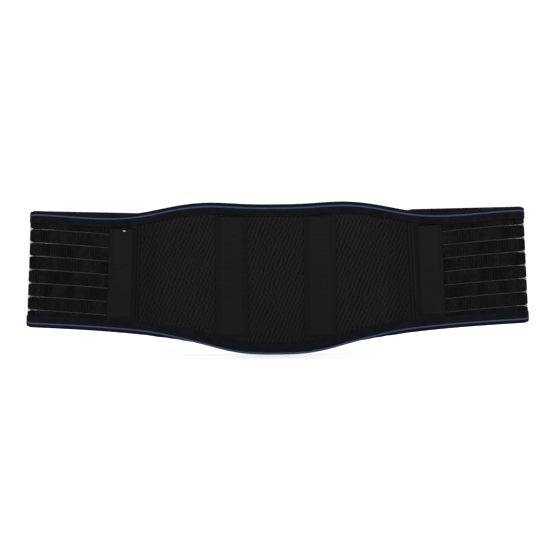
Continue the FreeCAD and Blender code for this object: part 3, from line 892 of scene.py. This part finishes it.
def strip(builder, run, number):
    """One ribbed strip: a flat ring at each station, narrower round the fold."""
    low, high = strip_edges(number)
    middle, half = elastic_depth(run)
    bend = 2.6 * wander(run.length, 9 * MM, number)
    ribs = (0.5 + 0.5 * np.cos(2 * math.pi * run.length / (3.3 * MM) + bend)) ** 1.6
    fine = 0.5 + 0.5 * np.cos(2 * math.pi * run.length / (1.7 * MM) + bend)
    weak = 0.35 + 0.65 * smooth(0.5 + wander(run.length, 11 * MM, 40 + number))
    ribs = (0.75 * ribs + 0.25 * fine) * weak
    relief = 0.32 * MM * ribs
    # Painted shade: the tone is darker in the ribs' grooves, which the shallow relief alone hardly shades;
    # the wander on it is the strip's own uneven tone.
    tone = (1 - 0.95 * ribs) * (0.85 + 0.25 * wander(run.length, 5 * MM, 90 + number))
    narrow = 1.5 * MM * run.at_fold(3.6 * MM)
    wavy = [0.16 * MM * wander(run.length, 11 * MM, 60 + 2 * number + k) for k in (0, 1)]
    places = ([(0.0, step) for step in STRIP_STEPS] + [(0.5, 0.0)]
              + [(1.0, -step) for step in STRIP_STEPS[::-1]])
    columns, across = [], []
    for face, ring in ((-1.0, places), (1.0, places[-2:0:-1])):
        for share, step in ring:
            def height(x, share=share, step=step):
                bottom, top = low(x) + narrow + wavy[0], high(x) - narrow + wavy[1]
                return bottom + (top - bottom) * share + step
            from_edge = 2 * MM if share == 0.5 else abs(step)
            arc = half * np.sqrt(1 - np.clip(1 - from_edge / half, 0, 1) ** 2)
            deep = middle + face * (arc - relief * smooth(from_edge / (1.2 * MM)))
            columns.append(run.points(height, deep))
            across.append((number + share) * STRIP_PITCH + step)
    uv = pairs(run.length[:, None], np.array(across)[None])
    builder.grid(np.stack(columns, 1), uv, tone[:, None], closed=True, caps=BOTH)


def ladder(builder, run, number):
    """Two threads that zigzag across a slit and cross each other in the middle of it."""
    radius, apart, half_pitch, sides = 0.27 * MM, 0.12 * MM, 0.5 * MM, 5
    turns = np.arange(sides) * 2 * math.pi / sides
    middle, _ = elastic_depth(run)
    jitter = 0.06 * MM * wander(run.length, 3 * MM, 80 + number)
    reach = (SLIT_HALF + 0.25 * MM) * (1.0 + 0.4 * run.at_fold(3.6 * MM))
    for way in (-1.0, 1.0):
        zigzag = way * reach * (np.abs((run.length / half_pitch) % 2 - 1) * 2 - 1) + jitter
        columns = []
        for turn in turns:
            def height(x, turn=turn, zigzag=zigzag):
                return SLITS[number](x) + zigzag + radius * math.cos(turn)
            columns.append(run.points(height, middle + way * apart + radius * math.sin(turn)))
        builder.grid(np.stack(columns, 1), pairs(run.length[:, None], turns[None] * radius),
                     closed=True, caps=BOTH)


def make_elastic(side):
    for part, first, last, ride in (("root", PANEL_HALF - 5 * MM, UNDER_POCKET, ride_side),
                                    ("wing", UNDER_POCKET, ROOT + 3 * MM, ride_fold)):
        strips, ladders = Builder(), Builder()
        run, fine = Run(side, first, last, 0.48 * MM), Run(side, first, last, 0.25 * MM)
        for number in range(SLIT_COUNT + 1):
            strip(strips, run, number)
        for number in range(SLIT_COUNT):
            ladder(ladders, fine, number)
        strip_nodes = [f"wing_elastic_strips_{side}", f"front_elastic_strips_{side}", f"fold_bend_{side}"]
        ladder_nodes = [f"wing_thread_ladders_{side}", f"front_thread_ladders_{side}"]
        if part == "root":
            strip_nodes, ladder_nodes = [], []
        woven = strips.make(f"elastic_strips_{part}_{side}", ELASTIC)
        threads = ladders.make(f"thread_ladders_{part}_{side}", LADDER)
        declare(woven, "elastic", ride, side, *strip_nodes)
        declare(threads, "thread", ride, side, *ladder_nodes)


# ---- pockets and stays

class Pocket:
    """The frame of a stay's pocket: across it, along it and in depth."""

    ROWS, COLUMNS = 170, 61
    CLOTH = 0.45 * MM

    def __init__(self, kind, side):
        self.kind, self.side = kind, side
        axis = np.array(JOINTS[f"{side}_{kind}_stay_slide"]["axis"])
        self.up = axis * np.sign(axis[2])
        self.across = np.array([self.up[2], 0.0, -self.up[0]])
        tape = cad_points(f"{kind}_pocket_cover_{side}")
        self.middle = (tape.min(0) + tape.max(0)) / 2 * np.array([1.0, 0.0, 1.0])
        arm = tape - self.middle
        self.half = (arm @ self.across).max()
        self.high = (arm @ self.up).max()
        lower_end = EDGE["bottom"](self.middle[0]) + BINDING_WIDTH - 6 * MM  # under the binding
        self.low = lower_end - self.middle[2]
        stay = cad_points(f"{kind}_stay_{side}")
        self.stay_half = np.abs((stay - self.middle) @ self.across).max()
        self.stay_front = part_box(f"{kind}_stay_tips_{side}")[0].y
        self.inwards = -SIDES[side]
        self.sag = 4.5 * MM if (kind, side) == ("side", "left") else 1.0 * MM

    def points(self, across, up, depth):
        across, up, depth = np.broadcast_arrays(across, up, depth)
        return (self.middle + across[..., None] * self.across + up[..., None] * self.up
                + depth[..., None] * np.array([0.0, 1.0, 0.0]))


POCKETS = [Pocket(kind, side) for kind in ("lumbar", "side") for side in SIDES]
POCKET_SPANS = [(abs(pocket.middle[0]), pocket.half + 2 * MM) for pocket in (POCKETS[0], POCKETS[2])]


def make_pocket(pocket):
    """A flat tube of satin tape, sewn down along both sides and open at the top."""
    cloth, half, low, high = pocket.CLOTH, pocket.half, pocket.low, pocket.high
    seed = 100 + 10 * POCKETS.index(pocket)
    rows = np.linspace(0, 1, pocket.ROWS)[:, None]
    u = np.linspace(-half, half, pocket.COLUMNS)[None]
    # The front cloth's mouth hangs lower than the back's.
    gape = pocket.sag * (0.35 + 0.65 * hump(u - pocket.inwards * 2 * MM, 3.4 * MM))
    up_front = low + (high - gape - low) * rows
    up_back = low + (high - low) * rows + 0 * u

    tunnel = smooth((pocket.stay_half + 5.5 * MM - np.abs(u)) / (4.5 * MM))
    tunnel = tunnel * (1 - 0.05 * (u / pocket.stay_half) ** 2)
    shut = smooth((up_front - low - 7.5 * MM) / (5 * MM))  # 0 where the pocket lies under the binding
    creases = (0.10 * MM * wander(up_front + 0.5 * u, 13 * MM, seed)
               + 0.07 * MM * wander(up_front - u, 6 * MM, seed + 1))
    hem = 0.28 * MM * smooth((up_front - high + gape + 4.5 * MM) / (0.8 * MM))
    belly = (0.25 * MM - pocket.stay_front - cloth) * tunnel * shut
    mouth = 0.55 * MM * tunnel * smooth((up_front - high + 9 * MM) / (9 * MM))
    side_seam = 0.14 * MM * hump(half - np.abs(u) - 1.6 * MM, 0.8 * MM)
    flat = (0.35 + 0.65 * shut) * cloth
    inner_front = -flat - 0.02 * MM - belly - mouth + (creases + side_seam) * shut * 0.5
    outer_front = inner_front - flat - hem * shut
    inner_back = np.maximum(-flat, inner_front + 0.02 * MM)

    from_inner = half - pocket.inwards * u
    # Painted shade: dark lines along the seams on the pocket's inner side, strongest on the side pockets.
    seams = hump(from_inner - 1.5 * MM, 0.7 * MM) + hump(from_inner - 3.4 * MM, 0.6 * MM)
    seam_shadow_strength = 0.97 if pocket.kind == "side" else 0.3
    patch = (0.10 * wander(up_front + 0 * u, 9 * MM, seed + 2)
             * wander(u + 0.2 * up_front, 14 * MM, seed + 3))
    # The tone: painted shade at the seams, painted light over the stay's bulge (a tenth lighter), and patch,
    # the satin's own uneven tone.
    shade = (1 - seam_shadow_strength * np.clip(seams, 0, 1)) * (1 + patch) * (0.90 + 0.10 * tunnel)
    narrow = u * (1 - 1.2 * MM / half)
    outer = both_faces(pocket.points(u, up_front, outer_front), pocket.points(u, up_back, -0.03 * MM))
    inner = both_faces(pocket.points(narrow, up_front, inner_front),
                       pocket.points(narrow, up_back, inner_back))
    tape = Builder()
    tape.grid(outer, tone=both_faces(shade, shade), closed=True, caps=(0,))
    # Painted shade inside the pocket: its inner faces at 0.15, and the rim at its mouth at 0.6.
    tape.grid(inner[::-1], tone=0.15, closed=True)
    tape.grid(np.stack([outer[-1], inner[-1]]), tone=0.6, closed=True)
    name = f"{pocket.kind}_pocket_{pocket.side}"
    ride = rides_on("back_panel" if pocket.kind == "lumbar" else f"{pocket.side}_wing")
    declare(tape.make(name, SATIN), "pocket_tape", ride, pocket.side,
            f"{pocket.kind}_pocket_base_{pocket.side}", f"{pocket.kind}_pocket_cover_{pocket.side}")
    sew(pocket_stitches(pocket, u[0], outer_front), name, ride, pocket.side)


def pocket_stitches(pocket, u, face):
    """Two rows of stitches along the pocket's inner side and one along its outer side."""
    stations = 300
    stitches = Builder()
    up = np.linspace(pocket.low + 2 * MM, pocket.high - 1.5 * MM, stations)
    rows = np.linspace(0, pocket.ROWS - 1, stations).astype(int)
    out = np.tile([0.0, -1.0, 0.0], (stations, 1))
    for way in (-1, 1):
        for inset in (1.5 * MM, 3.4 * MM) if way == pocket.inwards else (1.8 * MM,):
            at = way * (pocket.half - inset)
            deep = np.array([np.interp(at, u, face[row]) for row in rows])
            thread(stitches, pocket.points(at, up, deep), out)
    return stitches


def dress(node, material, ease):
    """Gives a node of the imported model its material, with its edges eased."""
    piece = frame["nodes"][node]
    for place in piece.material_slots:
        place.link = "OBJECT"
        place.material = material
    bevel = piece.modifiers.new("eased_edges", "BEVEL")
    bevel.width, bevel.segments, bevel.limit_method = ease, 2, "ANGLE"


def dress_stays():
    for pocket in POCKETS:
        dress(f"{pocket.kind}_stay_{pocket.side}", STEEL, 0.15 * MM)
        dress(f"{pocket.kind}_stay_tips_{pocket.side}", TIP, 0.15 * MM)


# ---- seam tape behind the side pocket

def make_seam_tape(side):
    """Covers the panel's edge on the outer face, where the elastic is sewn in."""
    first, last = PANEL_HALF - 9 * MM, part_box("wing_seam_tape_right")[1].x
    run = Run(side, first, last, 0.7 * MM)
    x = run.reach[:, None]
    z = heights(x, HEM, 90)
    eased = smooth(np.minimum(x - first, last - x) / (1.2 * MM))
    inner = thick_at(x) + 0.12 * MM
    outer = inner + 0.35 * MM * eased + 0.08 * MM * wander(z, 9 * MM, 31) + 0.1 * MM
    sheet = [np.stack(np.broadcast_arrays(run.fold.sign * x, deep, z), -1) for deep in (inner, outer)]
    tape, stitches = Builder(), Builder()
    tape.grid(both_faces(*sheet), closed=True, caps=BOTH)
    for k in (4, 12, len(x) - 4):
        thread(stitches, sheet[1][k], np.tile([0.0, 1.0, 0.0], (z.shape[1], 1)))
    declare(tape.make(f"seam_tape_{side}", BINDING), "seam_tape", ride_side, side, f"wing_seam_tape_{side}")
    sew(stitches, f"seam_tape_{side}", ride_side, side)


# ---- closing ends

class Closing:
    """The frame of a closing end in the flat belt: along it from its root, across it and in depth."""

    LAP = 8 * MM  # over the elastic

    def __init__(self, side):
        joint = JOINTS[f"{side}_front_flex"]
        self.side, self.fold = side, FOLDS[side]
        place = np.array(joint["pos_m"])
        self.root = self.fold.turned(place, math.pi) * np.array([1.0, 0.0, 1.0])
        up = self.fold.turned(place + np.array(joint["axis"]), math.pi) - self.fold.turned(place, math.pi)
        self.up = up * np.sign(up[2])
        self.out = self.fold.sign * np.array([self.up[2], 0.0, -self.up[0]])
        core = self.flat(cad_points(f"closure_core_{side}"))
        self.length = core[0].max()
        self.low, self.high = core[1].min(), core[1].max()
        self.corner = 22 * MM
        self.front = abs(self.flat(cad_points(f"closure_lining_{side}"))[2].max())
        self.behind_core = core[2].max()
        self.back = self.flat(cad_points(f"closure_outer_{side}"))[2].max()

    def flat(self, points):
        arm = self.fold.turned(points, math.pi) - self.root
        return arm @ self.out, arm @ self.up, arm[..., 1]

    def points(self, along, across, depth):
        along, across, depth = np.broadcast_arrays(along, across, depth)
        flat = self.root + along[..., None] * self.out + across[..., None] * self.up
        flat = flat + depth[..., None] * np.array([0.0, 1.0, 0.0])
        return self.fold.turned(flat, math.pi)

    def row(self, along, across, depth, way):
        """A row of points for stitches, and the way out of the cloth at each of them."""
        points = self.points(along, across, depth)
        return points, self.points(along, across, depth + way * MM) - points

    def span(self, along):
        """The low and high edge of the panel at a place along it, round its corners."""
        past = np.clip(along - self.length + self.corner, 0, self.corner)
        cut = self.corner - np.sqrt(np.clip(self.corner ** 2 - past ** 2, 0, None))
        return self.low + cut, self.high - cut


def closing_sheet(closing, kind, material, slot, inner, outer, relief):
    """One face of the closing end, from a lap over the elastic to its far end."""
    side, inset = closing.side, 0.5 * MM
    far = closing.length - inset
    round_corner = closing.corner * np.sin(np.linspace(0, math.pi / 2, 26)[1:])
    along = np.concatenate([np.linspace(-closing.LAP, far - closing.corner, 60),
                            far - closing.corner + round_corner])[:, None]
    low, high = closing.span(along + inset)
    across = low + inset + (high - low - 2 * inset) * np.linspace(0, 1, 110)[None]
    outward = 1.0 if outer > inner else -1.0
    inside = smooth(np.minimum(np.minimum(across - low, high - across), far - along) / MM / 2 - 7.5)
    tufts = 0.6 + (0.4 * wander(across * 1.7 + along, 2.2 * MM, 51)
                   * wander(along * 1.3 - across, 2.6 * MM, 52))
    sheet = [closing.points(along, across, inner),
             closing.points(along, across, outer + outward * relief * inside * tufts)]
    cloth = Builder()
    uv = pairs(along, across)
    cloth.grid(both_faces(*sheet), both_faces(uv, uv), closed=True, caps=BOTH)
    piece = cloth.make(f"closing_cloth_{kind}_{side}", material)
    declare(piece, slot, ride_end, side, f"closure_{kind}_{side}")

    stitches = Builder()
    row_across = np.linspace(closing.low + 13 * MM, closing.high - 13 * MM, 200)
    for at in (-5 * MM, -2.5 * MM):
        thread(stitches, *closing.row(at, row_across, outer, outward))
    sew(stitches, f"closing_cloth_{kind}_{side}", ride_end, side)


def end_binding(closing):
    """Binding round the three free sides of a closing end."""
    low, high, corner, step = closing.low, closing.high, closing.corner, 0.9 * MM
    centre = closing.length - corner
    straight, upright = np.arange(-3 * MM, centre, step), np.arange(low + corner, high - corner, step)
    turn = np.linspace(0, math.pi / 2, 40)
    sin, cos = corner * np.sin(turn), corner * np.cos(turn)
    path = np.concatenate([pairs(along, across) for along, across in (
        (straight, low), (centre + sin, low + corner - cos), (closing.length, upright),
        (centre + cos, high - corner + sin), (straight[::-1], high))])
    path = path[np.concatenate([[True], np.linalg.norm(np.diff(path, axis=0), axis=1) > 0.2 * MM])]
    ahead = unit(np.gradient(path, axis=0))
    inward = np.stack([-ahead[:, 1], ahead[:, 0]], 1)
    length = lengths(path)

    def place(inset, depth):
        spot = path + inward * inset[:, None]
        return closing.points(spot[:, 0], spot[:, 1], depth)

    ring = tape_ring(length, np.full(length.shape, LINE_IN), closing.back, place, 9)
    sewn_tape(f"end_{closing.side}", ring, ride_end, closing.side, f"end_binding_{closing.side}")


HOOK_SHAPE = {"height": np.array([0.0, 0.45, 0.8, 1.0, 0.86]),  # up a hook, as shares of its height
              "lean": np.array([0.0, 0.05, 0.2, 0.55, 0.95]) * MM,
              "half": np.array([0.30, 0.24, 0.22, 0.2, 0.12]) * MM}


def make_hooks(closing):
    """A patch of fine hooks on its backing, sewn to the wearer's face of the closing end."""
    along, across, depth = closing.flat(cad_points("hook_patch_right"))
    tip, base, corner = depth.min(), -0.55 * MM, 5 * MM
    middle_along, middle_across = (along.min() + along.max()) / 2, (across.min() + across.max()) / 2
    half_along, half_across = (along.max() - along.min()) / 2, (across.max() - across.min()) / 2

    patch = Builder()
    u = half_along * np.sin(np.linspace(-math.pi / 2, math.pi / 2, 41))[:, None]
    past = np.clip(np.abs(u) - half_along + corner, 0, corner)
    limit = half_across - corner + np.sqrt(np.clip(corner ** 2 - past ** 2, 0, None))
    v = limit * np.linspace(-1, 1, 61)[None]
    edge = np.minimum(limit - np.abs(v), half_along - np.abs(u))
    eased = base + 0.25 * MM * (1 - smooth(edge / (0.8 * MM)))
    patch.grid(both_faces(closing.points(middle_along + u, middle_across + v, -0.02 * MM),
                          closing.points(middle_along + u, middle_across + v, eased)), closed=True, caps=BOTH)

    pitch, margin = 2.0 * MM, 4.0 * MM
    height, lean, half = HOOK_SHAPE["height"], HOOK_SHAPE["lean"], HOOK_SHAPE["half"]
    for i in range(int(2 * (half_along - margin) / pitch)):
        for j in range(int(2 * (half_across - margin) / pitch)):
            way = 1 if j % 2 else -1
            at_along = middle_along - half_along + margin + pitch * (i + 0.5)
            at_across = middle_across - half_across + margin + pitch * (j + 0.5)
            ring = [closing.points(at_along + way * lean + a * half, at_across + b * half,
                                   base + (tip - base) * height)
                    for a, b in ((-1, -1), (1, -1), (1, 1), (-1, 1))]
            patch.grid(np.stack(ring, 1), np.full((len(height), 4, 2), i * 0.01 + j * 0.013),
                       closed=True, caps=(-1,))
    ride = rides_on("right_end")
    declare(patch.make("hook_patch", HOOK), "hook", ride, "right", "hook_patch_right")

    stitches = Builder()
    sewn_along, sewn_across = half_along - 2.0 * MM, half_across - 2.0 * MM
    corners = [(-1, -1), (1, -1), (1, 1), (-1, 1), (-1, -1)]
    share = np.linspace(0.02, 0.98, 200)
    for (a, b), (c, d) in zip(corners[:-1], corners[1:]):
        thread(stitches, *closing.row(middle_along + sewn_along * (a + (c - a) * share),
                                      middle_across + sewn_across * (b + (d - b) * share), base, -1))
    sew(stitches, "hook_patch", ride, "right")


def make_closing(side):
    closing = Closing(side)
    outer_material, outer_slot = (LOOP, "loop_fabric") if side == "left" else (OUTER, "outer_fabric")
    closing_sheet(closing, "lining", LOOP, "loop_fabric", closing.front, 0.0, 0.18 * MM)
    closing_sheet(closing, "outer", outer_material, outer_slot, closing.behind_core, closing.back, 0.22 * MM)
    end_binding(closing)
    dress(f"closure_core_{side}", BOARD, 0.3 * MM)
    if side == "right":
        make_hooks(closing)


# ---- floor, light and camera

LAMPS = (("key", (-1.1, -1.9, 1.9), 1.6, 26.0), ("fill", (1.6, -1.6, 0.9), 1.6, 14.0),
         ("back", (0.4, 2.2, 1.9), 1.8, 30.0))  # name, place, size and watts


def make_stage():
    lowest = CAD_BOX[0].z - 2 * MM
    floor = Builder()
    x, y = np.meshgrid(np.linspace(-8, 8, 9), np.linspace(-8, 8, 9))
    floor.grid(np.stack([x, y, lowest + 0 * x], -1), np.stack([x, y], -1))
    floor.make("floor", pale_floor())

    world = bpy.data.worlds.new("studio")
    bpy.context.scene.world = world
    world.use_nodes = True
    world.node_tree.nodes["Background"].inputs["Color"].default_value = (1.0, 1.0, 1.0, 1.0)
    world.node_tree.nodes["Background"].inputs["Strength"].default_value = 1.15

    for name, place, size, watts in LAMPS:
        lamp = bpy.data.lights.new(name, "AREA")
        lamp.size, lamp.energy = size, watts
        light = bpy.data.objects.new(name, lamp)
        light.location = place
        light.rotation_mode = "QUATERNION"
        light.rotation_quaternion = (-Vector(place)).to_track_quat("-Z", "Y")
        bpy.context.scene.collection.objects.link(light)


def make_camera():
    """A camera that looks straight at the wearer's face of the belt, a little rolled."""
    view_width, aim_x, aim_z, roll = 0.7333, -1.1 * MM, 5.8 * MM, math.radians(-0.5)
    lens = bpy.data.cameras.new("camera")
    lens.lens, lens.sensor_width = 100.0, 36.0
    distance = view_width * lens.lens / lens.sensor_width
    camera = bpy.data.objects.new("camera", lens)
    camera.matrix_world = (Matrix.Translation((aim_x, -distance, aim_z))
                           @ Matrix.Rotation(math.pi / 2, 4, "X") @ Matrix.Rotation(roll, 4, "Z"))
    bpy.context.scene.collection.objects.link(camera)
    bpy.context.scene.camera = camera
    bpy.context.scene.view_settings.view_transform = "Standard"


make_stage()
make_camera()
make_panel()
make_bindings()
dress_stays()
for pocket in POCKETS:
    make_pocket(pocket)
for side in SIDES:
    make_elastic(side)
    make_seam_tape(side)
    make_closing(side)
